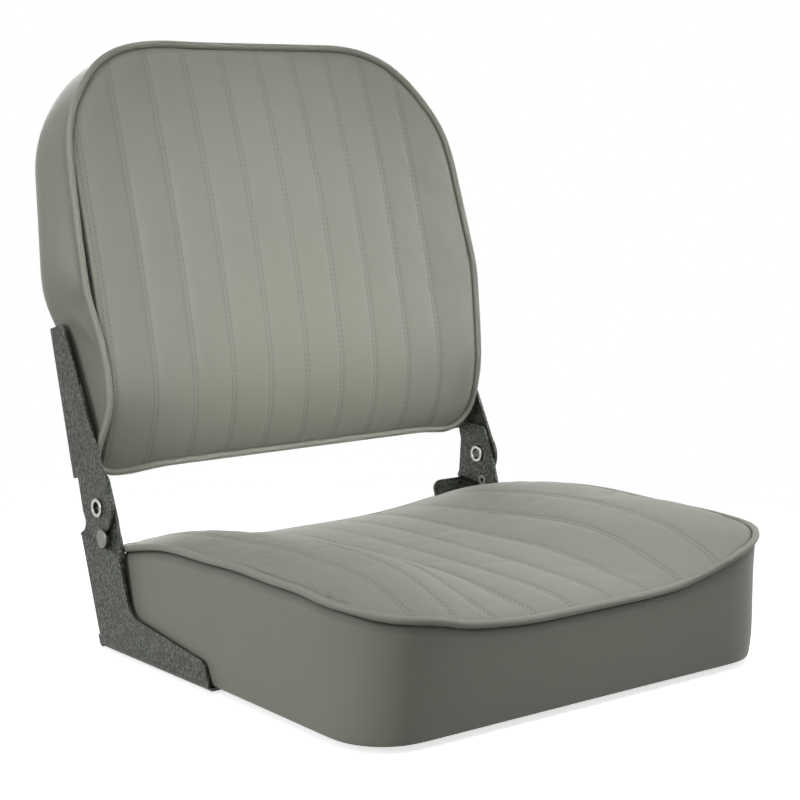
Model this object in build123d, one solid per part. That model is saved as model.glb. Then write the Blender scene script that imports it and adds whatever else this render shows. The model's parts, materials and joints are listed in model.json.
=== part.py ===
from build123d import *
from math import asin, atan, atan2, cos, degrees, hypot, radians, sin, sqrt, tan
import os

# Fold-down padded seat on two stamped steel hinges.
# X runs across the seat, -Y is the way the sitter faces and +Z is up.
# The origin is the centre of the mounting pattern on the underside of the seat board.

# Sheet steel, cover cloth and boards
sheet = 2.5
vinyl = 1.2
panel = 4.5
seat_board_thick = 12.0
back_board_thick = 10.0

# Hinge line and width over the hinge plates
pivot_y = 185.0
pivot_z = 114.0
plate_half = 212.0
recline = 16.0
plate_gap = 1.2
run_gap = 0.1
soft_gap = 0.3

# Seat cushion: outline at the welt, outline at the base
welt_front_half = 219.0
welt_rear_half = 202.0
welt_front_y = -188.0
welt_rear_y = 190.0
welt_front_r = 58.0
welt_rear_r = 42.0
base_front_half = 213.5
base_rear_half = 204.5
base_front_y = -184.0
base_rear_y = 180.5
base_front_r = 46.0
base_rear_r = 34.0
base_tuck = 1.5
base_height = 12.0
waist_height = 48.0
waist_share = 0.3
welt_height = 96.0
envelope_top = 150.0

# Seat cushion: dished top
floor_front = 76.0
floor_mid = 85.5
floor_rear = 68.0
rise_front = 24.5
rise_mid = 27.0
rise_rear = 9.0
floor_flat_front = 82.0
floor_flat_mid = 40.0
crest_front_half = 204.0
crest_mid_half = 168.0
crest_r = 150.0
dish_half = 245.0
dish_over = 30.0
roll_rear = 80.0
front_fall_share = 0.2
rear_fall_share = 0.12

# Sewn channels and piping
seat_channel_pitch = 39.0
seat_channel_count = 9
seat_channel_first = -173.0
back_channel_pitch = 38.6
back_channel_count = 10
back_channel_first = -196.0
channel_wide = 2.6
channel_deep = 1.2
welt_r = 3.5
welt_stations = 26
welt_join = 0.5
seam_near = 1e-3
seam_join = 0.01
straight_share = 1e-4
even_turn = 1e-9

# Seat hem and mounting pattern
hem_wide = 34.0
mount_pitch = 127.0

# Tee nuts and truss-head bolts
bore_r = 3.3
barrel_r = 4.0
tee_disc_r = 8.5
tee_disc = 1.3
tee_pocket = 3.0
bolt_r = 3.1
bolt_hole_r = 3.5
head_r = 6.3
head_high = 2.6

# Seat bracket, side view measured from the pivot
foot_front = -166.0
toe_front = -158.0
toe_top = -95.5
heel_rear = -2.0
leg_inner_y = -49.0
leg_inner_z = -82.0
leg_top_front = -31.0
leg_top_rear = 29.7
leg_top_z = -27.0
tongue_top = 28.5
tongue_top_front = -8.5
tongue_top_rear = 23.0
tongue_front = -22.5
tongue_front_z = -4.0
tongue_low = -27.5
tongue_low_z = -20.0
tongue_rear = 26.0
joggle_top = -27.2
joggle_high = 4.5
joggle_tilt = 7.0
heel_r = 5.0
leg_rear_r = 2.5
tongue_rear_r = 3.0
tongue_top_r = 9.0
tongue_front_r = 25.0
tongue_low_r = 9.0
leg_front_r = 8.0
leg_inner_r = 20.0
toe_r = 9.0
foot_front_r = 2.0
flange_wide = 38.0
bend_r = 3.2
bend_inner_r = 1.0
flange_corner_r = 8.0
rear_flange_corner_r = 9.0
rear_flange_low = 10.0
foot_bolt_front = -140.0
foot_bolt_rear = -35.0
foot_bolt_inset = 22.0

# Back arm, measured from the pivot along and across the recline
arm_rear = -34.3
arm_top = 157.0
arm_top_front = -10.5
arm_notch = 28.7
arm_neck = -24.5
arm_end_r = 22.3
arm_heel_r = 26.6
arm_heel_rear = 50.0
arm_corner_r = 3.0
arm_bolt_low = 58.0
arm_bolt_high = 132.0
arm_bolt_inset = 33.0

# Pivot rivet, washer and stop stud
rivet_r = 5.8
rivet_bore_r = 4.8
rivet_rim_r = 8.0
rivet_rim = 1.6
rivet_run = 0.07
rim_soften_share = 0.3
washer_r = 12.0
washer_thick = 1.0
stud_reach = 26.0
stud_forward = 4.0
stud_r = 3.2
stud_head_r = 7.6
stud_head = 2.6
stud_tail_r = 5.2
stud_tail = 1.2
stud_dimple_r = 2.2
stud_rest_gap = 0.3
stud_dome_share = 0.35
corner_near = 0.01

# Backrest outline at the welt, measured from the pivot along the recline
back_bottom = 30.5
back_top = 387.0
back_low_half = 199.5
back_waist = 100.0
back_waist_half = 202.0
back_wide = 175.0
back_wide_half = 212.5
back_shoulder = 322.0
back_shoulder_half = 203.0
back_top_half = 140.0
back_low_r = 18.0
back_waist_r = 60.0
back_wide_r = 80.0
back_shoulder_r = 84.0
back_top_r = 130.0

# How the side band swells between the welt and the rear of the backrest
swell_low = 1.0
swell_waist = 1.5
swell_waist_up = 48.0
swell_wide = 10.5
swell_wide_up = 15.0
swell_shoulder = 2.0
back_tuck = 5.0
rear_swell_share = 0.5
between_swell_share = 0.85
between_depth_share = 0.6
between_tuck_share = 0.2
back_hem = 30.0
rear_cover_inset = 7.0

# Backrest front: welt line, crown and the roll under the lower edge
back_welt_front = 34.0
back_crown = 12.0
back_roll_start = 115.0
back_roll_end = 20.0
back_roll_drop = 41.0
back_swell_depth = 50.0
panel_lift = 2.2
back_over = 25.0
back_stations = (0.4, 0.75, 1.08)
back_edge_crown = 1.0
top_fall_share = 0.2
roll_crown_share = 0.55

# Sizes that follow from the ones above
plate_inner = plate_half - sheet
tongue_outer = plate_inner - plate_gap
tongue_inner = tongue_outer - sheet
foot_bottom = -vinyl - sheet
back_flange_front = arm_rear + sheet
back_cover_rear = back_flange_front + vinyl
back_board_rear = back_cover_rear + vinyl
back_board_front = back_board_rear + back_board_thick
back_deep = back_welt_front - 3 * back_roll_drop
far_rear = 10 * back_top
seat_channels = [seat_channel_first + seat_channel_pitch * i for i in range(seat_channel_count)]
back_channels = [back_channel_first + back_channel_pitch * i for i in range(back_channel_count)]
back_plane = Plane(
    origin=(0, pivot_y, pivot_z),
    x_dir=(1, 0, 0),
    z_dir=(0, -cos(radians(recline)), sin(radians(recline))),
)


def one(shape):
    """Largest solid of a shape, as the piece itself."""
    return max(shape.solids(), key=lambda solid: solid.volume)


def in_place(shape):
    """Backrest piece moved from its own frame to the hinge line."""
    return back_plane.location * shape


def seat_outline(height, share, inset):
    """Rounded trapezoid of the seat, between the base outline (0) and the welt outline (1)."""
    def between(base, welt):
        return base + share * (welt - base)
    front = between(base_front_half, welt_front_half) - inset
    rear = between(base_rear_half, welt_rear_half) - inset
    front_y = between(base_front_y, welt_front_y) + inset
    rear_y = between(base_rear_y, welt_rear_y) - inset
    front_r = between(base_front_r, welt_front_r) - inset
    rear_r = between(base_rear_r, welt_rear_r) - inset
    wire = FilletPolyline(
        (-front, front_y),
        (front, front_y),
        (rear, rear_y),
        (-rear, rear_y),
        radius=[front_r, front_r, rear_r, rear_r],
        close=True,
    )
    return Pos(0, 0, height) * make_face(wire)


def seat_envelope(bottom, inset):
    """Side form of the seat cushion: tucked base, drawn-in waist and wider welt line."""
    sections = [
        seat_outline(bottom, 0, inset + base_tuck),
        seat_outline(base_height, 0, inset),
        seat_outline(waist_height, waist_share, inset),
        seat_outline(welt_height, 1, inset),
        seat_outline(envelope_top, 1, inset),
    ]
    return loft(sections)


def dish_section(y, floor, rise, flat, crest):
    """Cross-section under the seat top: flat floor, hollow arc and bolster arc on each side."""
    reach = crest - flat
    turn = 2 * atan(rise / reach)
    hollow_r = reach / sin(turn) - crest_r
    hollow_end = (flat + hollow_r * sin(turn), floor + hollow_r * (1 - cos(turn)))
    hollow_mid = (flat + hollow_r * sin(turn / 2), floor + hollow_r * (1 - cos(turn / 2)))
    over = dish_half - crest
    edge_z = floor + rise - crest_r + sqrt(crest_r ** 2 - over ** 2)
    right = [
        Line((0, 0), (dish_half, 0)),
        Line((dish_half, 0), (dish_half, edge_z)),
        ThreePointArc((dish_half, edge_z), (crest, floor + rise), hollow_end),
        ThreePointArc(hollow_end, hollow_mid, (flat, floor)),
        Line((flat, floor), (0, floor)),
    ]
    left = [mirror(edge, Plane.YZ) for edge in right]
    return Plane.XZ.offset(-y) * make_face(right + left)


def seat_dish():
    """Solid under the dished seat top, rolling down at the front and the rear."""
    front_in = welt_front_y + 2 * dish_over
    rear_in = welt_rear_y - roll_rear
    rear_start = rear_in - roll_rear
    fall = floor_mid - floor_front
    drop = floor_mid - floor_rear
    rise_between = 0.5 * (rise_mid + rise_rear)
    front_shape = (rise_front, floor_flat_front, crest_front_half)
    middle_shape = (rise_mid, floor_flat_mid, crest_mid_half)
    between_shape = (rise_between, floor_flat_mid, crest_mid_half)
    rear_shape = (rise_rear, floor_flat_mid, crest_mid_half)
    sections = [
        dish_section(welt_front_y - dish_over, floor_front - fall, *front_shape),
        dish_section(welt_front_y, floor_front, *front_shape),
        dish_section(front_in, floor_mid - front_fall_share * fall, *middle_shape),
        dish_section(rear_start, floor_mid, *middle_shape),
        dish_section(rear_in, floor_mid - rear_fall_share * drop, *between_shape),
        dish_section(welt_rear_y, floor_rear, *rear_shape),
        dish_section(welt_rear_y + dish_over, floor_rear - drop, *rear_shape),
    ]
    return loft(sections)


def seam_path(envelope, front):
    """Line where the sewn panel meets the side band, as tangent arcs through even stations."""
    body = envelope & front
    side = Compound(children=[Face(face.wrapped) for face in envelope.faces()])
    top = Compound(children=[Face(face.wrapped) for face in front.faces()])
    seam = []
    for edge in body.edges():
        middle = Vertex(*(edge @ 0.5))
        if max(side.distance_to(middle), top.distance_to(middle)) < seam_near:
            seam.append(edge)
    loop = Wire.combine(seam, tol=seam_join)[0]
    return tangent_arcs(loop)


def arc_or_line(start, tangent, end):
    """Arc that leaves start along the tangent, or a line where it would be straight."""
    chord = end - start
    if tangent.cross(chord).length < straight_share * chord.length:
        return Edge.make_line(start, end)
    return Edge.make_tangent_arc(start, tangent, end)


def tangent_arcs(loop):
    """Open chain of arc pairs round a loop, with its two ends meeting at the middle of the rear."""
    rear = loop.vertices().sort_by_distance((0, far_rear, 0))[0]
    begin = loop.param_at_point(Vector(*rear)) + 0.5 * welt_join / loop.length
    share = (1 - welt_join / loop.length) / welt_stations
    arcs = []
    for i in range(welt_stations):
        start_at = (begin + i * share) % 1
        end_at = (begin + (i + 1) * share) % 1
        start = loop.position_at(start_at)
        end = loop.position_at(end_at)
        leave = loop.tangent_at(start_at)
        arrive = loop.tangent_at(end_at)
        chord = end - start
        both = leave + arrive
        spread = 2 * (1 - leave.dot(arrive))
        along = chord.dot(both)
        if spread < even_turn:
            reach = chord.dot(chord) / (4 * chord.dot(arrive))
        else:
            reach = (sqrt(along ** 2 + spread * chord.dot(chord)) - along) / spread
        middle = (start + leave * reach + end - arrive * reach) * 0.5
        first = arc_or_line(start, leave, middle)
        arcs.append(first)
        arcs.append(arc_or_line(middle, first % 1, end))
    return Wire(arcs)


def piping(path, radius):
    """Round piping swept along the seam."""
    ring = Plane(origin=path @ 0, z_dir=path % 0) * Circle(radius)
    return sweep(ring, path=path)


def channel_cutters(places, front, sink, length, low, high):
    """Shallow slots that mark the sewn channels in a panel."""
    slabs = []
    for place in places:
        slabs.append(Pos(place, 0.5 * (low + high), 0) * Box(channel_wide, high - low, length))
    return Part() + slabs - sink * front


def ring_solid(inner, outer, start, end):
    """Flat washer-like ring about the local Z axis, from start to end."""
    return Pos(0, 0, start) * extrude(Circle(outer) - Circle(inner), end - start)


def tee_nut(board):
    """Tee nut in a board: barrel up from the underside, disc on the far face."""
    barrel = ring_solid(bore_r, barrel_r, 0, board)
    return barrel + ring_solid(bore_r, tee_disc_r, board, board + tee_disc)


def truss_bolt(grip):
    """Truss-head bolt with its head below zero and its shank up through the grip."""
    rise = (head_r ** 2 + head_high ** 2) / (2 * head_high)
    cap = Pos(0, 0, rise - head_high) * Sphere(rise)
    head = cap & Pos(0, 0, -head_high / 2) * Cylinder(head_r, head_high)
    return head + Pos(0, 0, grip / 2) * Cylinder(bolt_r, grip)


def drill(places, radius, start, end):
    """Holes along local Z at the given places."""
    return [Pos(x, y, 0.5 * (start + end)) * Cylinder(radius, end - start) for x, y in places]


mount_places = [(x * mount_pitch / 2, y * mount_pitch / 2) for x in (-1, 1) for y in (-1, 1)]
foot_places = [
    (side * (plate_half - foot_bolt_inset), pivot_y + y)
    for side in (-1, 1)
    for y in (foot_bolt_front, foot_bolt_rear)
]
arm_places = [
    (side * (plate_half - arm_bolt_inset), u)
    for side in (-1, 1)
    for u in (arm_bolt_low, arm_bolt_high)
]


def seat_cushion():
    """Board, foam, sewn panel, side band and piping of the seat."""
    outer = seat_envelope(-vinyl, 0)
    inner = seat_envelope(0, vinyl)
    core = seat_envelope(0, vinyl + soft_gap)
    dish = seat_dish()
    under = Pos(0, 0, -panel) * dish
    below = Pos(0, 0, -panel - soft_gap) * dish
    seam = seam_path(outer, Pos(0, 0, -panel / 2) * dish)
    welt = piping(seam, welt_r)
    groove = piping(seam, welt_r + soft_gap)
    sink = Pos(0, 0, -channel_deep)
    slots = channel_cutters(seat_channels, dish, sink, 2 * envelope_top, 2 * welt_front_y, 2 * welt_rear_y)
    top_panel = (outer & dish) - under - slots - groove
    span = 2 * plate_half
    board_zone = Pos(0, 0, seat_board_thick / 2) * Box(span, span, seat_board_thick)
    barrels = drill(mount_places + foot_places, barrel_r, 0, seat_board_thick)
    board = (core & board_zone) - barrels
    pockets = drill(mount_places + foot_places, tee_disc_r + soft_gap, 0, seat_board_thick + tee_pocket)
    foam = (core & below) - board_zone - pockets - groove
    window = extrude(seat_outline(-2 * vinyl, 0, hem_wide), 3 * vinyl)
    hem_holes = drill(foot_places, bolt_hole_r, -2 * vinyl, vinyl)
    band = (outer & below) - inner - window - hem_holes - groove
    return {
        "seat_board": one(board),
        "seat_foam": one(foam),
        "seat_top_panel": one(top_panel),
        "seat_side_band": one(band),
        "seat_welt": one(welt),
    }


def back_outline(depth, share, inset):
    """Rounded outline of the backrest, from the welt line (0) to the swell above the arms (1)."""
    right = [
        (back_low_half + share * swell_low - inset, back_bottom + inset),
        (back_waist_half + share * swell_waist - inset, back_waist + share * swell_waist_up),
        (back_wide_half + share * swell_wide - inset, back_wide + share * swell_wide_up),
        (back_shoulder_half + share * swell_shoulder - inset, back_shoulder - inset),
        (back_top_half - inset, back_top - inset),
    ]
    left = [(-x, u) for x, u in reversed(right)]
    radii = [back_low_r, back_waist_r, back_wide_r, back_shoulder_r, back_top_r]
    wire = FilletPolyline(*right, *left, radius=radii + radii[::-1], close=True)
    return Pos(0, 0, depth) * make_face(wire)


def back_envelope(rear, inset):
    """Side form of the backrest: tucked rear edge, swelling band and straight welt line."""
    depth = back_welt_front - back_swell_depth
    between = (1 - between_depth_share) * rear + between_depth_share * depth
    sections = [
        back_outline(rear, rear_swell_share, inset + back_tuck),
        back_outline(between, between_swell_share, inset + between_tuck_share * back_tuck),
        back_outline(depth, 1, inset),
        back_outline(back_welt_front, 0, inset),
        back_outline(back_welt_front + back_over, 0, inset),
    ]
    return loft(sections)


def back_section(x, crown):
    """Side profile of the backrest front: long crowned arc, then the roll under the lower edge."""
    top = (back_top + back_over, back_welt_front - top_fall_share * crown)
    middle = (0.5 * (back_top + back_roll_start), back_welt_front + crown)
    roll = (back_roll_start, back_welt_front + roll_crown_share * crown)
    end = (back_roll_end, back_welt_front - back_roll_drop)
    front = ThreePointArc(top, middle, roll)
    under = TangentArc(roll, end, tangent=front % 1)
    edges = [
        front,
        under,
        Line(end, (back_roll_end, back_deep)),
        Line((back_roll_end, back_deep), (top[0], back_deep)),
        Line((top[0], back_deep), top),
    ]
    return Plane.YZ.offset(x) * make_face(edges)


def back_front():
    """Solid behind the crowned front of the backrest."""
    sections = []
    left = [-share for share in reversed(back_stations)]
    for share in (*left, 0, *back_stations):
        crown = back_crown * (1 - min(1, share ** 2)) + back_edge_crown
        sections.append(back_section(share * back_wide_half, crown))
    return loft(sections)


def back_cushion():
    """Board, foam, sewn panel, side band, piping and rear cover of the backrest."""
    outer = back_envelope(back_cover_rear, 0)
    inner = back_envelope(back_board_rear, vinyl)
    core = back_envelope(back_board_rear, vinyl + soft_gap)
    front = back_front()
    under = Pos(0, panel_lift, -panel) * front
    below = Pos(0, panel_lift + soft_gap / 2, -panel - soft_gap) * front
    seam = seam_path(outer, Pos(0, panel_lift / 2, -panel / 2) * front)
    welt = piping(seam, welt_r)
    groove = piping(seam, welt_r + soft_gap)
    sink = Pos(0, channel_deep / 2, -channel_deep)
    slots = channel_cutters(back_channels, front, sink, 2 * back_top, -back_top, 2 * back_top)
    front_panel = (outer & front) - under - slots - groove
    span = 3 * back_top
    middle = 0.5 * (back_board_rear + back_board_front)
    board_zone = Pos(0, 0, middle) * Box(span, span, back_board_thick)
    barrels = drill(arm_places, barrel_r, back_board_rear, back_board_front)
    board = (core & board_zone) - barrels
    pockets = drill(arm_places, tee_disc_r + soft_gap, back_board_rear, back_board_front + tee_pocket)
    foam = (core & below) - board_zone - pockets - groove
    window_face = back_outline(back_cover_rear - vinyl, rear_swell_share, back_hem + back_tuck)
    window = extrude(window_face, 3 * vinyl)
    cover_holes = drill(arm_places, bolt_hole_r, back_flange_front - vinyl, back_board_rear + vinyl)
    band = (outer & below) - inner - window - cover_holes - groove
    cover_face = back_outline(back_flange_front, rear_swell_share, back_tuck + rear_cover_inset)
    cover = extrude(cover_face, vinyl) - cover_holes
    pieces = {
        "back_board": board,
        "back_foam": foam,
        "back_front_panel": front_panel,
        "back_side_band": band,
        "back_welt": welt,
        "back_rear_cover": cover,
    }
    return {name: one(in_place(piece)) for name, piece in pieces.items()}


def rounded_outline(corners):
    """Closed outline through corners given as (y, z, radius)."""
    points = [(y, z) for y, z, r in corners]
    return make_face(FilletPolyline(*points, radius=[r for y, z, r in corners], close=True))


def bend_corner(length):
    """Waste outside the outer radius of a bend, along local Z from zero."""
    block = Box(bend_r, bend_r, length, align=(Align.MAX, Align.MAX, Align.MIN))
    round_bar = Cylinder(bend_r, length, align=(Align.CENTER, Align.CENTER, Align.MIN))
    return block - Pos(-bend_r, -bend_r, 0) * round_bar


def seat_bracket():
    """Left seat bracket: foot and leg in one plane, tongue set inboard by a joggle."""
    foot_z = foot_bottom - pivot_z
    outline = rounded_outline([
        (heel_rear, foot_z, heel_r),
        (leg_top_rear, leg_top_z, leg_rear_r),
        (tongue_rear, tongue_low_z, tongue_rear_r),
        (tongue_top_rear, tongue_top, tongue_top_r),
        (tongue_top_front, tongue_top, tongue_top_r),
        (tongue_front, tongue_front_z, tongue_front_r),
        (tongue_low, tongue_low_z, tongue_low_r),
        (leg_top_front, leg_top_z - joggle_high, leg_front_r),
        (leg_inner_y, leg_inner_z, leg_inner_r),
        (toe_front, toe_top, toe_r),
        (foot_front, foot_z, foot_front_r),
    ])
    blank_thick = plate_half - tongue_inner + 2 * sheet
    blank = extrude(Plane.YZ.offset(tongue_inner - sheet) * outline, blank_thick)
    step = plate_half - tongue_outer
    lag = sheet * tan(0.5 * atan2(step, joggle_high))
    low = foot_z - flange_wide
    high = tongue_top + flange_wide
    outside = FilletPolyline(
        (plate_half, low), (plate_half, joggle_top - joggle_high),
        (tongue_outer, joggle_top), (tongue_outer, high), radius=[bend_r, bend_inner_r],
    )
    inside = FilletPolyline(
        (plate_inner, low), (plate_inner, joggle_top - joggle_high - lag),
        (tongue_inner, joggle_top - lag), (tongue_inner, high), radius=[bend_inner_r, bend_r],
    )
    profile = make_face([outside, inside, Line(outside @ 0, inside @ 0), Line(outside @ 1, inside @ 1)])
    tilt = radians(joggle_tilt)
    formed = extrude(Plane.XZ * profile, -foot_front, dir=(0, cos(tilt), sin(tilt)), both=True)
    foot_long = heel_rear - foot_front - bend_r
    foot = Box(
        flange_wide, foot_long, sheet,
        align=(Align.MAX, Align.MIN, Align.MIN),
    )
    foot = Pos(plate_half, foot_front, foot_z) * foot
    foot_ends = foot.edges().filter_by(Axis.Z).group_by(Axis.X)[0]
    foot = fillet(foot_ends, flange_corner_r)
    lean_y = leg_top_rear - heel_rear
    lean_z = leg_top_z - foot_z
    lean = hypot(lean_y, lean_z)
    rear_high = lean + (joggle_top - joggle_high + lean_y * tan(tilt) - leg_top_z)
    strip = Pos(plate_half - flange_wide, 0, rear_flange_low) * Box(
        flange_wide, sheet, rear_high - rear_flange_low,
        align=(Align.MIN, Align.MAX, Align.MIN),
    )
    strip_ends = strip.edges().filter_by(Axis.Y).group_by(Axis.X)[0]
    strip = fillet(strip_ends, rear_flange_corner_r)
    lean_place = Pos(0, heel_rear, foot_z) * Rot(-degrees(atan2(lean_y, lean_z)), 0, 0)
    rear_bend = Pos(plate_half, 0, rear_flange_low) * bend_corner(rear_high - rear_flange_low)
    foot_bend = Plane(origin=(plate_half, foot_front, foot_z), x_dir=(1, 0, 0), z_dir=(0, 1, 0))
    plate = (blank & formed) + foot + lean_place * strip
    plate = plate - lean_place * rear_bend - foot_bend.location * bend_corner(foot_long)
    plate = Pos(0, pivot_y, pivot_z) * plate
    for x, y in foot_places:
        plate = plate - Pos(x, y, foot_bottom) * Cylinder(bolt_hole_r, 3 * sheet)
    plate = plate - across(0, 0, rivet_r, tongue_inner - sheet, plate_half)
    stud_y, stud_z = stud_place()
    return one(plate - across(stud_y, stud_z, stud_r, tongue_inner - sheet, plate_half))


def stud_place():
    """Stop stud's place from the pivot, set off the line of the recline."""
    angle = radians(recline + stud_forward)
    return -stud_reach * sin(angle), -stud_reach * cos(angle)


def across(y, z, radius, start, end):
    """Cylinder along X at a place measured from the pivot."""
    middle = 0.5 * (start + end)
    return Pos(middle, pivot_y + y, pivot_z + z) * Rot(0, 90, 0) * Cylinder(radius, end - start)


def back_arm():
    """Left back arm: tapered plate with a round pivot end, a stop heel and a rear flange."""
    reach = hypot(arm_top, arm_top_front)
    slant = asin(arm_end_r / reach) + atan2(arm_top_front, arm_top)
    touch = (arm_end_r * sin(slant), arm_end_r * cos(slant))
    blade = make_face(Polyline(
        (0, 0), (0, arm_neck), (arm_notch, arm_neck), (arm_notch, arm_rear),
        (arm_top, arm_rear), (arm_top, arm_top_front), (-touch[0], touch[1]),
        close=True,
    ))
    side = degrees(asin((stud_r + stud_rest_gap) / stud_reach))
    heel_start = radians(stud_forward - side)
    heel_end = radians(arm_heel_rear)

    def heel_point(angle):
        return (-arm_heel_r * cos(angle), arm_heel_r * sin(angle))
    heel_arc = ThreePointArc(
        heel_point(heel_start), heel_point(0.5 * (heel_start - heel_end)), heel_point(-heel_end),
    )
    heel = make_face([
        Line((0, 0), heel_arc @ 0),
        heel_arc,
        Line(heel_arc @ 1, (0, arm_neck)),
        Line((0, arm_neck), (0, 0)),
    ])
    outline = blade + Circle(arm_end_r) + heel
    plate = extrude(Plane.YZ.offset(plate_inner) * outline, sheet)
    flange = Pos(plate_half, arm_notch, arm_rear) * Box(
        flange_wide, arm_top - arm_notch, sheet,
        align=(Align.MAX, Align.MIN, Align.MIN),
    )
    flange_ends = flange.edges().filter_by(Axis.Z).group_by(Axis.X)[0]
    arm = plate + fillet(flange_ends, flange_corner_r)
    bend = Plane(origin=(plate_half, arm_notch, arm_rear), x_dir=(1, 0, 0), z_dir=(0, 1, 0))
    arm = arm - bend.location * bend_corner(arm_top - arm_notch)
    for x, u in arm_places:
        arm = arm - Pos(x, u, arm_rear) * Cylinder(bolt_hole_r, 3 * sheet)
    corner = Vector(0, arm_top, arm_top_front)
    top_corner = [
        edge for edge in arm.edges().filter_by(Axis.X)
        if (edge.center() - corner - Vector(edge.center().X, 0, 0)).length < corner_near
    ]
    arm = fillet(top_corner, arm_corner_r)
    return one(in_place(arm) - across(0, 0, rivet_r + rivet_run, plate_inner - sheet, plate_half + sheet))


def turned(profile):
    """Turned piece about the pivot line from an (along X, radius) outline."""
    face = make_face(Polyline(*profile, close=True))
    return Pos(0, pivot_y, pivot_z) * revolve(face, Axis.X)


def pivot_rivet():
    """Hollow rivet with a rolled rim on each side."""
    inner_end = tongue_inner - rivet_rim
    outer_start = plate_half + run_gap
    outer_end = outer_start + rivet_rim
    soften = rim_soften_share * rivet_rim
    return one(turned([
        (inner_end, rivet_bore_r + soften), (inner_end, rivet_rim_r - soften),
        (inner_end + soften, rivet_rim_r), (tongue_inner, rivet_rim_r),
        (tongue_inner, rivet_r), (outer_start, rivet_r),
        (outer_start, rivet_rim_r), (outer_end - soften, rivet_rim_r),
        (outer_end, rivet_rim_r - soften), (outer_end, rivet_bore_r + soften),
        (outer_end - soften, rivet_bore_r), (inner_end + soften, rivet_bore_r),
    ]))


def pivot_washer():
    """Flat washer in the gap between the tongue and the arm."""
    start = tongue_outer + 0.5 * (plate_gap - washer_thick)
    ring = across(0, 0, washer_r, start, start + washer_thick)
    return one(ring - across(0, 0, rivet_r + run_gap, start, start + washer_thick))


def stop_stud():
    """Headed stud through the tongue, with a dimpled tail."""
    y, z = stud_place()
    head_start = plate_half + stud_rest_gap
    dome = stud_dome_share * stud_head
    tail_end = tongue_inner - stud_tail
    dimple_end = tail_end + 2 * stud_tail
    stud = turned([
        (tail_end, stud_dimple_r), (tail_end, stud_tail_r), (tongue_inner, stud_tail_r),
        (tongue_inner, stud_r), (head_start, stud_r), (head_start, stud_head_r),
        (head_start + stud_head - dome, stud_head_r), (head_start + stud_head, stud_head_r - 2 * dome),
        (head_start + stud_head, 0), (dimple_end, 0), (dimple_end, stud_dimple_r),
    ])
    return one(Pos(0, y, z) * stud)


def fasteners():
    """Tee nuts and bolts, each set as one piece of several solids."""
    back_grip = back_board_front + tee_disc - arm_rear
    seat_grip = seat_board_thick + tee_disc - foot_bottom
    back_set = Pos(0, 0, back_board_rear)
    return {
        "seat_mount_tee_nuts": [Pos(x, y, 0) * tee_nut(seat_board_thick) for x, y in mount_places],
        "seat_hinge_tee_nuts": [Pos(x, y, 0) * tee_nut(seat_board_thick) for x, y in foot_places],
        "seat_hinge_bolts": [Pos(x, y, foot_bottom) * truss_bolt(seat_grip) for x, y in foot_places],
        "back_hinge_tee_nuts": [
            in_place(back_set * Pos(x, u, 0) * tee_nut(back_board_thick)) for x, u in arm_places
        ],
        "back_hinge_bolts": [in_place(Pos(x, u, arm_rear) * truss_bolt(back_grip)) for x, u in arm_places],
    }


# Build every piece and write one file for each
pieces = {}
pieces.update(seat_cushion())
pieces.update(back_cushion())
for name, group in fasteners().items():
    pieces[name] = Compound(children=[one(item) for item in group])
left_pieces = {
    "seat_bracket": seat_bracket(),
    "back_arm": back_arm(),
    "pivot_rivet": pivot_rivet(),
    "pivot_washer": pivot_washer(),
    "stop_stud": stop_stud(),
}
for name, piece in left_pieces.items():
    pieces["left_" + name] = piece
    pieces["right_" + name] = one(mirror(piece, Plane.YZ))
os.makedirs("parts", exist_ok=True)
for name, piece in pieces.items():
    export_step(piece, f"parts/{name}.step")
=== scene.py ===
import json
import math
import bmesh
import bpy
import numpy as np
from mathutils import Matrix, Vector
from mathutils.bvhtree import BVHTree


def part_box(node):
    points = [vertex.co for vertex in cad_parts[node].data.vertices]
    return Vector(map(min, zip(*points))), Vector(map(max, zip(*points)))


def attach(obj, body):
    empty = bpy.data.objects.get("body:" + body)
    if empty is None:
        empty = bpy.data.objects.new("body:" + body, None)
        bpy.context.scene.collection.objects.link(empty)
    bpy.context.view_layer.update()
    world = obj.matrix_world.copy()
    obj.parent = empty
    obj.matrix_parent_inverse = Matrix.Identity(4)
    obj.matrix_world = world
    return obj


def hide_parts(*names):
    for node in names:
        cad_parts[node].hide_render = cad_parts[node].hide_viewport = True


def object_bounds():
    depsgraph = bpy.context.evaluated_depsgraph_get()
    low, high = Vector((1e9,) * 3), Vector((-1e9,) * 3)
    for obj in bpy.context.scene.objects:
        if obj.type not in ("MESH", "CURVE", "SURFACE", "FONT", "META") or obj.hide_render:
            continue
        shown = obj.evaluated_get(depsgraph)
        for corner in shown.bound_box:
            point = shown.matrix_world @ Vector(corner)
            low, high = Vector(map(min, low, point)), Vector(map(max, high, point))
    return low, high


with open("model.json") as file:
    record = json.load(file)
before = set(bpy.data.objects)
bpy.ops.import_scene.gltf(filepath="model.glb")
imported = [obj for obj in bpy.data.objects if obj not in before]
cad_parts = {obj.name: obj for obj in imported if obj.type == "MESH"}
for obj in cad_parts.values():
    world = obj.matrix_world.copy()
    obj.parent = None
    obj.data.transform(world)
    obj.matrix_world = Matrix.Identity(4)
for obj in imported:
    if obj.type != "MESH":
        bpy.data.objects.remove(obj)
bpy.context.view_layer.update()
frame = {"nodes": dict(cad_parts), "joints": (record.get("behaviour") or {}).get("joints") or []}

cad = frame["nodes"]

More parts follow.
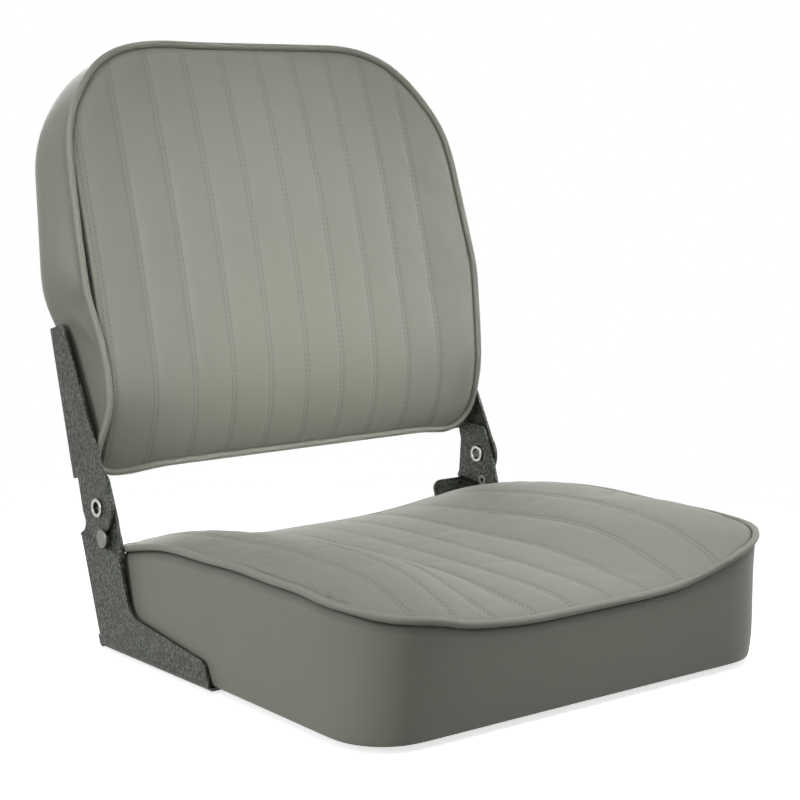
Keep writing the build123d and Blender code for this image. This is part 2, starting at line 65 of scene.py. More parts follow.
# The seat stands on a plain pale floor in a studio, with soft lamps at the sides, front and rear.
# The camera stands at the front on the sitter's right, just above the cushions, with a long lens.
# The floor is pale to the camera and dull to bounced light, so the lower sides stay in shade.
camera_place = Vector((-1.0463, -1.2421, 0.4631))
camera_yaw = math.radians(39.02)
camera_pitch = math.radians(8.92)
camera_roll = math.radians(0.485)
lens_mm = 90.5
sensor_mm = 36.0
floor_half = 3.0
floor_near = 0.35
floor_far = 0.95
floor_dull = (0.16, 0.16, 0.15, 1)
floor_pale = (0.93, 0.93, 0.93, 1)
floor_glow = (0.70, 0.70, 0.70, 1)
black = (0, 0, 0, 1)
white = (1, 1, 1, 1)
room_light = 0.02

scene = bpy.context.scene
scene.view_settings.view_transform = "Standard"
lens = bpy.data.cameras.new("camera")
lens.lens = lens_mm
lens.sensor_width = sensor_mm
camera = bpy.data.objects.new("camera", lens)
scene.collection.objects.link(camera)
turn = Matrix.Rotation(-camera_yaw, 4, "Z") @ Matrix.Rotation(math.pi / 2 - camera_pitch, 4, "X")
camera.matrix_world = Matrix.Translation(camera_place) @ turn @ Matrix.Rotation(camera_roll, 4, "Z")
scene.camera = camera


class Socket:
    """One output of a finish's nodes. Arithmetic on it adds Math nodes."""

    def __init__(self, finish, socket):
        self.finish = finish
        self.socket = socket

    def math(self, operation, first, second):
        return self.finish.node("ShaderNodeMath", {"operation": operation}, {0: first, 1: second})

    def __add__(self, other):
        return self.math("ADD", self, other)

    def __radd__(self, other):
        return self.math("ADD", other, self)

    def __rsub__(self, other):
        return self.math("SUBTRACT", other, self)

    def __mul__(self, other):
        return self.math("MULTIPLY", self, other)

    def __rmul__(self, other):
        return self.math("MULTIPLY", other, self)

    def __pow__(self, other):
        return self.math("POWER", self, other)

    def top(self, other):
        return self.math("MAXIMUM", self, other)


class Finish:
    """A material made of nodes, with its shader's sockets set by name."""

    def __init__(self, name, owner=None):
        self.owner = owner or bpy.data.materials.new(name)
        self.owner.use_nodes = True
        self.tree = self.owner.node_tree
        self.shader = self.tree.nodes.get("Principled BSDF")

    def feed(self, socket, value):
        if isinstance(value, Socket):
            self.tree.links.new(value.socket, socket)
        else:
            socket.default_value = value

    def node(self, kind, settings=None, inputs=None, output=0):
        made = self.tree.nodes.new(kind)
        for key, value in (settings or {}).items():
            if key == "stops":
                for element, (place, colour) in zip(made.color_ramp.elements, value):
                    element.position = place
                    element.color = colour
            else:
                setattr(made, key, value)
        for key, value in (inputs or {}).items():
            self.feed(made.inputs[key], value)
        return Socket(self, made.outputs[output])

    def mix(self, share, first, second):
        return self.node("ShaderNodeMix", {"data_type": "RGBA"}, {0: share, 6: first, 7: second}, 2)

    def noise(self, place, scale, detail, rough=0.5):
        inputs = {"Vector": place, "Scale": scale, "Detail": detail, "Roughness": rough}
        return self.node("ShaderNodeTexNoise", {}, inputs)

    def bump(self, height, distance, strength=1.0, normal=None):
        inputs = {"Height": height, "Distance": distance, "Strength": strength}
        if normal:
            inputs["Normal"] = normal
        return self.node("ShaderNodeBump", {}, inputs)

    def place(self):
        return self.node("ShaderNodeTexCoord", output="Object")

    def rounded(self, radius):
        return self.node("ShaderNodeBevel", {"samples": 6}, {"Radius": radius})

    # Ambient occlusion, used to paint shade into the nooks of the rivets and studs
    def unshaded_share(self, reach):
        return self.node("ShaderNodeAmbientOcclusion", {"samples": 8}, {"Distance": reach}, "AO")

    def set(self, values):
        for key, value in values.items():
            self.feed(self.shader.inputs[key], value)


def seen(finish):
    """One where the camera, a mirror or glass looks at the surface, and zero for bounced light."""
    path = finish.tree.nodes.new("ShaderNodeLightPath")
    kinds = ("Is Camera Ray", "Is Glossy Ray", "Is Transmission Ray")
    straight, mirrored, through = [Socket(finish, path.outputs[kind]) for kind in kinds]
    return straight.top(mirrored).top(through)


studio = bpy.data.worlds.new("studio")
scene.world = studio
sky = Finish("studio", studio)
sky_shader = sky.tree.nodes["Background"]
sky.feed(sky_shader.inputs["Color"], white)
sky.feed(sky_shader.inputs["Strength"], room_light + (1 - room_light) * seen(sky))

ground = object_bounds()[0].z
floor_mesh = bpy.data.meshes.new("floor")
floor_corners = [(x * floor_half, y * floor_half, ground) for x, y in ((-1, -1), (1, -1), (1, 1), (-1, 1))]
floor_mesh.from_pydata(floor_corners, [], [(0, 1, 2, 3)])
floor = bpy.data.objects.new("floor", floor_mesh)
scene.collection.objects.link(floor)
floor_finish = Finish("pale_floor")
floor_seen = seen(floor_finish)
floor_away = floor_finish.node(
    "ShaderNodeVectorMath", {"operation": "LENGTH"}, {0: floor_finish.place()}, "Value",
)
floor_fade = floor_finish.node(
    "ShaderNodeMapRange", {"interpolation_type": "SMOOTHSTEP"},
    {"Value": floor_away, "From Min": floor_near, "From Max": floor_far, "To Min": 1.0, "To Max": 0.0},
)
floor_below = floor_finish.node("ShaderNodeNewGeometry", {}, {}, "Backfacing")
floor_finish.set({
    "Base Color": floor_finish.mix(floor_seen, floor_dull, floor_pale),
    "Roughness": 0.9,
    "Specular IOR Level": 0.0,
    "Emission Color": floor_finish.mix(floor_seen, black, floor_glow),
    "Emission Strength": 1.0,
    "Alpha": floor_fade * (1 - floor_below),
})
floor_mesh.materials.append(floor_finish.owner)

# Lamps, left and right as the camera sees them: place, aim, size, spread in degrees and power
lamps = {
    "front": ((-0.3, -2.2, 1.1), (0, 0.15, 0.28), 1.0, 180, 4.0),
    "left": ((-2.0, 0.0, 0.7), (0, 0.05, 0.15), 1.0, 180, 13.8),
    "over_left": ((-1.1, -0.2, 1.3), (0, 0.05, 0.15), 0.9, 180, 4.6),
    "right": ((2.0, -0.6, 0.8), (0, 0.05, 0.15), 1.0, 180, 12.8),
    "back_grid": ((-0.2, -1.6, 1.0), (0, 0.25, 0.25), 0.5, 14, 0.295),
    "seat_grid": ((0.25, -0.35, 1.2), (0.05, -0.06, 0.10), 0.5, 40, 0.40),
    "rear": ((0.5, 2.2, 0.9), (0, 0.2, 0.2), 1.0, 180, 10.0),
}
for name, (place, aim, size, spread, power) in lamps.items():
    lamp = bpy.data.lights.new(name, "AREA")
    lamp.shape = "DISK"
    lamp.size = size
    lamp.spread = math.radians(spread)
    lamp.energy = power
    lamp_object = bpy.data.objects.new(name, lamp)
    lamp_object.location = place
    lamp_object.rotation_euler = (Vector(aim) - Vector(place)).to_track_quat("-Z", "Y").to_euler()
    scene.collection.objects.link(lamp_object)

# The boards are plywood: the seat's shows under the cushion inside the stapled hem,
# and the backrest's is closed in between the foam and the rear cover.
ply_light = (0.50, 0.34, 0.19, 1)
ply_dark = (0.30, 0.18, 0.09, 1)
ply_stretch = (3, 60, 200)
pore_scale = 9.0
plywood = Finish("plywood")
ply_place = plywood.node("ShaderNodeMapping", {}, {"Vector": plywood.place(), "Scale": ply_stretch})
ply_grain = plywood.noise(ply_place, 1.0, 6.0, 0.6)
ply_pores = plywood.noise(ply_place, pore_scale, 2.0)
plywood.set({
    "Base Color": plywood.mix(ply_grain, ply_dark, ply_light),
    "Roughness": 0.62 + 0.2 * ply_pores,
    "Normal": plywood.bump(ply_grain + 0.4 * ply_pores, 0.0004),
})


def coat(finish, names):
    """Gives a finish to solids that are shown as they are."""
    for name in names:
        cad[name].material_slots[0].material = finish.owner


coat(plywood, ("seat_board", "back_board"))

# Tee nuts, truss-head bolts and washers are zinc-plated steel, with a dull patchy bloom.
# The bolts go through the bracket feet and the arm flanges into the tee nuts.
zinc_dark = (0.40, 0.40, 0.37, 1)
zinc_pale = (0.66, 0.66, 0.63, 1)
bloom_scale = 260.0
zinc = Finish("zinc_plate")
zinc_bloom = zinc.noise(zinc.place(), bloom_scale, 4.0, 0.6)
zinc.set({
    "Base Color": zinc.mix(zinc_bloom, zinc_dark, zinc_pale),
    "Metallic": 1.0,
    "Roughness": 0.26 + 0.22 * zinc_bloom,
})
coat(zinc, (
    "seat_mount_tee_nuts", "seat_hinge_tee_nuts", "seat_hinge_bolts", "back_hinge_tee_nuts",
    "back_hinge_bolts", "left_pivot_washer", "right_pivot_washer",
))

# The hinges are stamped sheet steel in dark green-grey hammered paint: a foot bracket on
# each side of the seat and a flanged arm on each side of the backrest.
# The paint sets in small cells with pale flecks, and its rounded edges catch the light.
hammer_cell = 0.0018
edge_round = 0.0008
hammer_dark = (0.030, 0.036, 0.028, 1)
hammer_pale = (0.138, 0.147, 0.126, 1)
fleck_low = 0.44
fleck_high = 0.66
hammered = Finish("hammered_paint")
hammer_place = hammered.place()
cells = hammered.node(
    "ShaderNodeTexVoronoi", {"feature": "SMOOTH_F1"},
    {"Vector": hammer_place, "Scale": 1 / hammer_cell, "Smoothness": 0.5},
)
flecks = hammered.noise(hammer_place, 0.75 / hammer_cell, 2.0, 0.6)
fleck_share = hammered.node(
    "ShaderNodeValToRGB", {"stops": [(fleck_low, black), (fleck_high, white)]}, {"Fac": flecks},
)
rounded = hammered.rounded(edge_round)
hammered.set({
    "Base Color": hammered.mix(fleck_share, hammer_dark, hammer_pale),
    "Metallic": 0.55,
    "Roughness": 0.30 + 0.14 * flecks,
    "Normal": hammered.bump(cells + 0.6 * flecks, 0.0007, 0.9, rounded),
})
coat(hammered, [f"{side}_{part}" for side in ("left", "right") for part in ("seat_bracket", "back_arm")])

# The pivot rivets are bright plated steel, rolled over on the outside. A fine haze keeps them
# from looking like mirrors, and their hollows are painted dark, as painted shade.
rivet_nook_shade = (0.012, 0.012, 0.011, 1)
rivet_bright = (0.52, 0.51, 0.47, 1)
rivet_edge = 0.0006
rivet_hollow = 0.012
haze_scale = 420.0
haze_deep = 0.00006
nickel = Finish("bright_plate")
nickel_haze = nickel.noise(nickel.place(), haze_scale, 3.0)
rivet_unshaded = nickel.unshaded_share(rivet_hollow)
nickel.set({
    "Base Color": nickel.mix(rivet_unshaded ** 2.0, rivet_nook_shade, rivet_bright),
    "Metallic": 1.0,
    "Roughness": 0.13 + 0.16 * nickel_haze,
    "Normal": nickel.bump(nickel_haze, haze_deep, 0.5, nickel.rounded(rivet_edge)),
})
coat(nickel, ("left_pivot_rivet", "right_pivot_rivet"))

# The stop studs are turned steel, painted over with the brackets but too small for the paint to
# set in cells, so their heads are smooth and catch the light.
# The studs' nooks are painted darker, as painted shade
stud_nook_shade = (0.015, 0.018, 0.014, 1)
stud_bright = (0.240, 0.250, 0.222, 1)
stud_edge = 0.0009
stud_hollow = 0.006
stud_paint = Finish("stud_paint")
stud_paint.set({
    "Base Color": stud_paint.mix(stud_paint.unshaded_share(stud_hollow), stud_nook_shade, stud_bright),
    "Metallic": 0.6,
    "Roughness": 0.28,
    "Normal": stud_paint.rounded(stud_edge),
})
coat(stud_paint, ("left_stop_stud", "right_stop_stud"))

# The covers are one grey-green marine vinyl with a fine pressed grain and a soft sheen.
# It is drawn down along its seams, where the creases are painted darker as painted shade, and it is a little
# uneven over wide areas.
vinyl_colour = (0.296, 0.295, 0.249, 1)
vinyl_pale = (0.322, 0.321, 0.272, 1)
# Near-black painted shade, laid on by the crease attribute in the deepest creases
vinyl_crease_shade = (0.030, 0.030, 0.026, 1)
grain_size = 0.0011
# The band and the rear cover are a darker copy of the one vinyl, as painted shade; the piping a lighter
# copy, as painted light
panel_tone = 1.0
band_shade_tone = 0.91
piping_light_tone = 1.06
drift_scale = 7.0


def vinyl_finish(name, tone):
    """Vinyl with pressed grain; the mesh's crease shade attribute paints shade on it along its seams."""
    vinyl = Finish(name)
    place = vinyl.place()
    drift = vinyl.noise(place, drift_scale, 3.0)
    pebble = vinyl.node(
        "ShaderNodeTexVoronoi", {"feature": "SMOOTH_F1"}, {"Vector": place, "Scale": 1 / grain_size},
    )
    pores = vinyl.noise(place, 0.5 / grain_size, 4.0, 0.6)
    crease_shade = vinyl.node("ShaderNodeAttribute", {"attribute_name": "crease_shade"}, output="Fac")
    dark = tuple(tone * c for c in vinyl_colour[:3]) + (1,)
    pale = tuple(tone * c for c in vinyl_pale[:3]) + (1,)
    body = vinyl.mix(drift, dark, pale)
    vinyl.set({
        "Base Color": vinyl.mix(crease_shade, body, vinyl_crease_shade),
        "Roughness": 0.44 + 0.12 * pores + 0.1 * crease_shade,
        "Specular IOR Level": 0.42,
        "Sheen Weight": 0.12,
        "Sheen Roughness": 0.5,
        "Normal": vinyl.bump(pebble + 0.6 * pores, 0.00016, 0.35),
    })
    return vinyl.owner


panel_vinyl = vinyl_finish("panel_vinyl", panel_tone)
shaded_band_vinyl = vinyl_finish("shaded_band_vinyl", band_shade_tone)
lit_piping_vinyl = vinyl_finish("lit_piping_vinyl", piping_light_tone)

# The seat cushion is a foam block under a sewn top panel, dished for the sitter and raised
# at the sides. Rows of sewing pull the panel down in lines from front to back, and the foam
# swells up between them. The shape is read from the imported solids, so it lies in their place.
seat_channel_first = -0.173
seat_channel_pitch = 0.039
seat_channel_count = 9
row_half = 0.0019
row_sink = 0.0006
row_spread = 0.0009
valley_sink = 0.0004
valley_spread = 0.008
rib_lines = (0.0040, 0.0065, 0.0115)
panel_tuck = 0.0016
panel_dip = 0.0026
panel_roll = 0.0036
loop_count = 320
row_gap = 0.0062
base_draw = 0.91
cover_slack = 0.003
# Painted shade along the sewn rows and in the crease where the panel meets the piping
row_shade = 0.08
seam_shade = 1.0
seam_shade_wide = 0.0013
line_rounds = 2
height_samples = 75
height_degrees = (12, 10)
height_cut = 1e-7
end_gap = 0.003
line_gap = 0.00025
end_rows = (0, 0.0011, 0.0024, 0.0046, 0.008, 0.0125)
end_rows_long = 0.018
roll_power = 1.15
settle_steps = 20
row_hold = 0.0004
edge_hold = 0.010
sink_start = 0.006
shade_start = 0.004
board_gap = 0.0008
seat_pressure = 2.0
seat_puff = 0.0018
seat_middle = np.array((0.0, 0.0))
seat_place = Matrix.Identity(4)


def local_mesh(node, place):
    """Points of a CAD node in a cushion's own frame, and its triangles."""
    mesh = cad[node].data
    points = np.empty(len(mesh.vertices) * 3)
    mesh.vertices.foreach_get("co", points)
    back = np.array(place.inverted())
    points = points.reshape(-1, 3) @ back[:3, :3].T + back[:3, 3]
    mesh.calc_loop_triangles()
    triangles = np.empty(len(mesh.loop_triangles) * 3, int)
    mesh.loop_triangles.foreach_get("vertices", triangles)
    return points, triangles.reshape(-1, 3)


def caster(node, place):
    """Ray caster against a CAD node in a cushion's own frame."""
    points, triangles = local_mesh(node, place)
    return BVHTree.FromPolygons([Vector(p) for p in points], triangles.tolist())


def evened(loop, rounds, share=0.25):
    """Points round a closed loop, each averaged with its neighbours."""
    for _ in range(rounds):
        loop = share * np.roll(loop, 1, 0) + (1 - 2 * share) * loop + share * np.roll(loop, -1, 0)
    return loop


def piping_line(node, place, middle):
    """Centre line of a piping solid, cut by half planes turned about the cushion's middle."""
    points, triangles = local_mesh(node, place)
    edges = np.concatenate([triangles[:, [0, 1]], triangles[:, [1, 2]], triangles[:, [2, 0]]])
    line = []
    for step in range(loop_count):
        angle = 2 * math.pi * (step + 0.5) / loop_count
        out = np.array((math.cos(angle), math.sin(angle)))
        side = (points[:, :2] - middle) @ np.array((-out[1], out[0]))
        cut = edges[side[edges[:, 0]] * side[edges[:, 1]] < 0]
        share = side[cut[:, 0]] / (side[cut[:, 0]] - side[cut[:, 1]])
        hits = points[cut[:, 0]] + share[:, None] * (points[cut[:, 1]] - points[cut[:, 0]])
        reach = (hits[:, :2] - middle) @ out
        reach, depth = reach[reach > 0], hits[reach > 0, 2]
        order = np.argsort(np.arctan2(depth - depth.mean(), reach - reach.mean()))
        reach, depth = reach[order], depth[order]
        wedge = reach * np.roll(depth, -1) - np.roll(reach, -1) * depth
        far = ((reach + np.roll(reach, -1)) * wedge).sum() / (3 * wedge.sum())
        level = ((depth + np.roll(depth, -1)) * wedge).sum() / (3 * wedge.sum())
        line.append((*(middle + far * out), level))
    return evened(np.array(line), line_rounds)


def dropped(rays, x, y):
    """Where a ray dropped on a cushion meets a shape, or nothing."""
    return rays.ray_cast(Vector((x, y, 1)), Vector((0, 0, -1)))[0]


def read_height(node, place, low, high):
    """Smooth height of a panel solid over its own plane, from rays cast down on it."""
    rays = caster(node, place)
    half = 0.5 * (high - low)
    centre = 0.5 * (high + low)
    found = []
    for x in np.linspace(low[0], high[0], height_samples):
        for y in np.linspace(low[1], high[1], height_samples):
            hit = dropped(rays, x, y)
            if hit:
                found.append(tuple(hit))
    found = np.array(found)
    terms = np.polynomial.chebyshev.chebvander2d(*((found[:, :2] - centre) / half).T, height_degrees)
    shape = np.linalg.lstsq(terms, found[:, 2], rcond=height_cut)[0]
    shape = shape.reshape([degree + 1 for degree in height_degrees])

    def height(x, y):
        return np.polynomial.chebyshev.chebval2d((x - centre[0]) / half[0], (y - centre[1]) / half[1], shape)
    return height


def panel_lines(line, channels):
    """Places across a panel of the grid's lines: close at each channel and round the ends."""
    places = []
    for channel in channels:
        near = (row_half,) + rib_lines
        places += [channel] + [channel + s * d for d in near for s in (-1, 1)]
    gaps = np.diff(channels)
    places += [c + 0.5 * g for c, g in zip(channels[:-1], gaps)]
    low, high = min(places), max(places)
    places += [x for x in line[:, 0] if x < low - end_gap or x > high + end_gap]
    places = np.sort(places)
    keep = np.concatenate([[True], np.diff(places) > line_gap])
    return places[keep][1:-1]


def panel_rows(line):
    """Shares along a panel's length, closer together at both ends."""
    long = np.ptp(line[:, 1])
    ends = np.array(end_rows)
    middle = np.linspace(end_rows_long, long - end_rows_long, int((long - 2 * end_rows_long) / row_gap))
    return np.concatenate([ends, middle, long - ends[::-1]]) / long


def panel_grid(line, channels, height):
    """Panel's points as a grid of lines by rows, inside the piping and rolled down against it."""
    inner = line.copy()
    reach = line[:, :2] - line[:, :2].mean(0)
    inner[:, :2] -= panel_tuck * reach / np.linalg.norm(reach, axis=1)[:, None]
    xs = panel_lines(inner, channels)
    shares = panel_rows(inner)
    left, right = inner[:, 0].argmin(), inner[:, 0].argmax()
    ring = np.roll(inner, -left, 0)
    split = (right - left) % len(inner)
    halves = [ring[: split + 1], np.concatenate([ring[split:], ring[:1]])[::-1]]
    ends = [np.interp(xs, half[:, 0], half[:, 1]) for half in halves]
    ends = np.sort(np.array(ends), axis=0)
    x = np.repeat(xs[:, None], len(shares), 1)
    y = ends[0][:, None] + shares[None, :] * (ends[1] - ends[0])[:, None]
    flat = np.stack([x, y], -1).reshape(-1, 1, 2)
    away = np.linalg.norm(flat - line[None, :, :2], axis=2)
    nearest = away.argmin(1).reshape(x.shape)
    edge = away.min(1).reshape(x.shape)
    rolled = np.exp(-((np.maximum(edge - panel_tuck, 0) / panel_roll) ** roll_power))
    z = height(x, y) * (1 - rolled) + (line[nearest, 2] - panel_dip) * rolled
    return np.stack([x, y, z], -1), edge


def grid_faces(lines, rows, closed=False):
    """Quads of a grid of points, wrapped round across its lines where it is closed."""
    faces = []
    for i in range(lines if closed else lines - 1):
        for j in range(rows - 1):
            a = i * rows + j
            b = ((i + 1) % lines) * rows + j
            faces.append((a, b, b + 1, a + 1))
    return faces


def swell(points, faces, held, pressure, slack, cap):
    """Cloth blown up from behind and held where it is sewn. Returns the points where they settle."""
    mesh = bpy.data.meshes.new("trial")
    mesh.from_pydata(points.tolist(), [], faces)
    trial = bpy.data.objects.new("trial", mesh)
    scene.collection.objects.link(trial)
    sewn = trial.vertex_groups.new(name="sewn")
    sewn.add(np.flatnonzero(held).tolist(), 1.0, "REPLACE")
    cloth = trial.modifiers.new("swell", "CLOTH")
    cloth.collision_settings.use_collision = False
    cloth.point_cache.frame_end = settle_steps
    settings = cloth.settings
    settings.quality = 6
    settings.mass = 0.25
    settings.bending_stiffness = 0.6
    settings.use_pressure = True
    settings.uniform_pressure_force = pressure
    settings.shrink_min = -slack
    settings.vertex_group_mass = "sewn"
    settings.effector_weights.gravity = 0
    for step in range(1, settle_steps + 1):
        scene.frame_set(step)
    settled = trial.evaluated_get(bpy.context.evaluated_depsgraph_get())
    after = np.empty(len(points) * 3)
    settled.data.vertices.foreach_get("co", after)
    bpy.data.objects.remove(trial)
    bpy.data.meshes.remove(mesh)
    scene.frame_set(1)
    move = after.reshape(-1, 3) - points
    far = np.linalg.norm(move, axis=1)
    return points + move * np.minimum(1, cap / np.maximum(far, 1e-9))[:, None]


def channel_profile(x, channels):
    """Depth of the sewing across a panel: two close rows in a shallow valley at each channel."""
    off = np.abs(x[..., None] - np.array(channels)).min(-1)
    rows = row_sink * np.exp(-(((off - row_half) / row_spread) ** 2))
    return rows + valley_sink * np.exp(-((off / valley_spread) ** 2)), rows


def flatten(piece):
    """Turns a piece's modifiers into plain mesh."""
    before = piece.data
    made = bpy.data.meshes.new_from_object(piece.evaluated_get(bpy.context.evaluated_depsgraph_get()))
    piece.modifiers.clear()
    piece.data = made
    made.name = piece.name
    bpy.data.meshes.remove(before)


def soft_piece(name, points, faces, material, crease_shade, place, levels):
    """Smooth mesh object in the shared frame, with its crease shade attribute and subdivision."""
    mesh = bpy.data.meshes.new(name)
    mesh.from_pydata(points.tolist(), [], faces)
    mesh.transform(place)
    # The crease attribute carries painted shade for the vinyl's colour
    mark = mesh.attributes.new("crease_shade", "FLOAT", "POINT")
    mark.data.foreach_set("value", np.asarray(crease_shade, np.float32))
    mesh.materials.append(material)
    mesh.shade_smooth()
    piece = bpy.data.objects.new(name, mesh)
    scene.collection.objects.link(piece)
    if levels:
        divide = piece.modifiers.new("smooth", "SUBSURF")
        divide.levels = levels
        divide.render_levels = levels
        flatten(piece)
    return piece


def close_base(piece, level, place, middle):
    """Closes a panel into a padded form: sides down from its border, and a flat base."""
    form = bmesh.new()
    form.from_mesh(piece.data)
    border = [edge for edge in form.edges if edge.is_boundary]
    sides = bmesh.ops.extrude_edge_only(form, edges=border)["geom"]
    for corner in (item for item in sides if isinstance(item, bmesh.types.BMVert)):
        spot = place.inverted() @ corner.co
        drawn = middle + base_draw * (np.array(spot)[:2] - middle)
        corner.co = place @ Vector((*drawn, level))
    rim = [item for item in sides if isinstance(item, bmesh.types.BMEdge) and item.is_boundary]
    bmesh.ops.edgeloop_fill(form, edges=rim)
    bmesh.ops.recalc_face_normals(form, faces=form.faces[:])
    form.to_mesh(piece.data)
    form.free()


def cushion(name, line, channels, height, floor_level, place, middle, pressure, puff):
    """Closed padded form: sewn panel above, sides going down inside the band, flat base."""
    grid, edge = panel_grid(line, channels, height)
    lines, rows = edge.shape
    faces = grid_faces(lines, rows)
    sink, stitched = channel_profile(grid[..., 0], channels)
    sewn = np.abs(grid[..., 0, None] - np.array(channels)).min(-1) < row_half + row_hold
    held = sewn | (edge < edge_hold)
    flat = swell(grid.reshape(-1, 3), faces, held.ravel(), pressure, cover_slack, puff)
    flat = flat.reshape(grid.shape)
    inside = edge - panel_tuck
    flat[..., 2] -= sink * np.clip(inside / sink_start, 0, 1)
    # The crease attribute paints shade: faintly along the sewn rows, darkest where the panel tucks under the
    # piping
    crease_shade = row_shade * stitched / row_sink * np.clip(inside / shade_start, 0, 1)
    crease_shade = np.clip(crease_shade + seam_shade * np.exp(-(inside / seam_shade_wide) ** 2), 0, 1)
    piece = soft_piece(name, flat.reshape(-1, 3), faces, panel_vinyl, crease_shade.ravel(), place, 1)
    close_base(piece, floor_level, place, middle)
    return piece


# Where the cover has settled on the foam: place, reach and rise
seat_settles = (
    (-0.192, -0.178, 0.034, -0.0064),
    (-0.216, -0.105, 0.036, 0.0030),
    (0.216, -0.100, 0.046, 0.0037),
    (-0.211, 0.030, 0.050, -0.0042),
    (0.122, -0.188, 0.040, 0.0024),
    (-0.100, -0.188, 0.028, 0.0022),
)


def bumps(table, x, y):
    """Sum of soft round bumps, each with its place, reach and height."""
    total = 0
    for at_x, at_y, wide, high in table:
        total = total + high * np.exp(-((x - at_x) ** 2 + (y - at_y) ** 2) / wide ** 2)
    return total


seat_line = piping_line("seat_welt", seat_place, seat_middle)
seat_line[:, 2] += bumps(seat_settles, seat_line[:, 0], seat_line[:, 1])
seat_channels = [seat_channel_first + seat_channel_pitch * i for i in range(seat_channel_count)]
seat_low, seat_high = (np.array(corner)[:2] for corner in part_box("seat_top_panel"))
seat_top = read_height("seat_top_panel", seat_place, seat_low, seat_high)


def seat_height(x, y):
    """Height of the seat's panel, as its cover has settled."""
    return seat_top(x, y) + bumps(seat_settles, x, y)


seat_board_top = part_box("seat_board")[1].z + board_gap
seat_cushion = cushion(
    "seat_cushion", seat_line, seat_channels, seat_height, seat_board_top, seat_place, seat_middle,
    seat_pressure, seat_puff,
)
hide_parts("seat_foam", "seat_top_panel")
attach(seat_cushion, "seat")

# The seat's side band is one strip of vinyl sewn to the panel at the piping, pulled down over
# the foam and turned under the board, where its hem is stapled. It swells gently between the
# seam and the board, except where the hinge brackets hold it in.
band_thick = 0.0012
seat_hem = 0.034
band_levels = 15
band_slack = 0.0
band_search = 0.03
under_piping = 0.0042
shade_deep = 0.0018
seam_inset = 0.0016
seam_drop = 0.0005
neck_inset = 0.0014
neck_drop = 0.0020
foot_start = 0.004
hem_inset = 0.012
ring_rounds = 3
held_top = 4
held_foot = 7
# The band's top rows under the piping are painted dark, as painted shade in the tuck below it
shaded_rows = 3
shade_fade = 0.4
bracket_margin = 0.02
bracket_side = 0.19
bracket_top = 0.045
leg_front = 0.125
leg_side = 0.185
# Rows where the band turns under the board: inward move and height
foot_turn = ((0.0004, 0.0016), (0.00132, 0.0003), (0.0032, 0.0))


def band_reach(rays, middle, out, level, least):
    """How far out a band's solid stands at a level, or NaN where the ray passes over it."""
    start = Vector((*(middle + out), level))
    hit = rays.ray_cast(start, Vector((-out[0], -out[1], 0)))[0]
    far = np.dot(np.array(hit)[:2] - middle, out) if hit else 0
    return far if far > least else np.nan


def band_rows(line, rays, middle, floor_level, hem):
    """Rings of a side band: from under the piping, down the side, round the lower edge, along the hem."""
    rings = []
    for seam in line:
        out = seam[:2] - middle
        out = out / np.linalg.norm(out)
        reach = np.dot(seam[:2] - middle, out)
        top = seam[2] - under_piping
        levels = np.append(top, np.linspace(top - shade_deep, floor_level + foot_start, band_levels))
        side = np.array([band_reach(rays, middle, out, level, reach - band_search) for level in levels])
        good = np.isfinite(side)
        side = np.interp(levels[::-1], levels[good][::-1], side[good][::-1])[::-1]
        side[0] -= neck_inset
        ring = [(reach - seam_inset, seam[2] - seam_drop)]
        ring.append((min(reach, side[0]) - neck_inset, seam[2] - neck_drop))
        ring += list(zip(side, levels))
        foot = side[-1]
        ring += [(foot - inset, floor_level + rise) for inset, rise in foot_turn]
        ring += [(foot - hem_inset, floor_level), (foot - hem, floor_level)]
        rings.append([(*(middle + far * out), level) for far, level in ring])
    return evened(np.array(rings), ring_rounds)


def thicken(sheet):
    """Gives a sheet of vinyl its thickness, inwards."""
    wall = sheet.modifiers.new("vinyl", "SOLIDIFY")
    wall.thickness = band_thick
    wall.offset = -1


def side_band(name, rings, kept, place, pressure, cap, shade):
    """Band piece from its rings: swollen by the foam, then given its thickness."""
    stations, rows = rings.shape[:2]
    faces = [tuple(reversed(face)) for face in grid_faces(stations, rows, True)]
    order = np.arange(rows)
    held = (order[None, :] < held_top) | (order[None, :] >= rows - held_foot) | kept
    points = swell(rings.reshape(-1, 3), faces, held.ravel(), pressure, band_slack, cap)
    # Painted shade on the top rows, where the band tucks in under the piping
    crease_shade = np.zeros((stations, rows))
    crease_shade[:, :shaded_rows] = shade
    crease_shade[:, shaded_rows] = shade_fade * shade
    piece = soft_piece(name, points, faces, shaded_band_vinyl, crease_shade.ravel(), place, 1)
    thicken(piece)
    return piece


seat_band_rays = caster("seat_side_band", seat_place)
seat_rings = band_rows(seat_line, seat_band_rays, seat_middle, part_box("seat_side_band")[0].z, seat_hem)
bracket_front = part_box("left_seat_bracket")[0].y
ring_side = np.abs(seat_rings[..., 0])
ring_back = seat_rings[..., 1]
beside_bracket = (ring_back > bracket_front - bracket_margin) & (ring_side > bracket_side)
beside_bracket &= seat_rings[..., 2] < bracket_top
beside_leg = (ring_back > leg_front) & (ring_side > leg_side)
seat_band = side_band(
    "seat_band", seat_rings, beside_bracket | beside_leg, seat_place, pressure=1.0, cap=0.004, shade=1.0,
)
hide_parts("seat_side_band")
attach(seat_band, "seat")

# The piping is a cord wrapped in vinyl and sewn between the panel and the band.
# It is a little flattened by the seam, and puckers slightly round the corners.
piping_r = 0.0030
piping_sides = 16
piping_flat = 0.05
pucker_deep = 0.10
pucker_bend = 0.5
pucker_turn = 2.1


